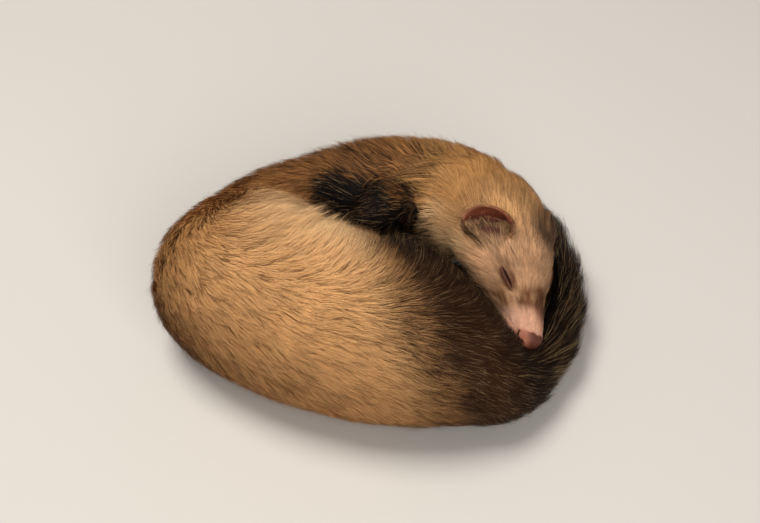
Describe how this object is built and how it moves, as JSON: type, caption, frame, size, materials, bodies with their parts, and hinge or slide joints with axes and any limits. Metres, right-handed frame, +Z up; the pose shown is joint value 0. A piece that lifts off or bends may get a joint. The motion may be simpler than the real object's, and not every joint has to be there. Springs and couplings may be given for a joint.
{
  "type": "ferret figure",
  "caption": "Life-size still model of a sleeping ferret curled on its side, tail wrapped round, head resting on its feet.",
  "frame": {"origin": "centre of the bounding box's footprint, on the floor the animal lies on", "axes": "+X from the curve of the back towards the nose and tail side, the longest extent; +Y from the rump side to the shoulder side; +Z up from the floor, the shortest extent"},
  "size_m": [0.181, 0.13, 0.0749],
  "materials": {
    "face_coat": "short soft fur, matte",
    "ear_coat": "fine short hair over thin skin, matte",
    "cream_coat": "dense soft fur with dark guard hairs, matte",
    "dark_coat": "dense dark brown fur, low sheen"
  },
  "bodies": {
    "root": {"back": "cream_coat", "ear_left": "ear_coat", "ear_right": "ear_coat", "fore_leg_left": "dark_coat", "fore_leg_right": "dark_coat", "head": "face_coat", "hind_leg_left": "dark_coat", "hind_leg_right": "dark_coat", "loin": "cream_coat", "neck": "cream_coat", "rump": "dark_coat", "shoulders": "cream_coat", "tail_base": "dark_coat", "tail_end": "dark_coat"}
  },
  "joints": []
}
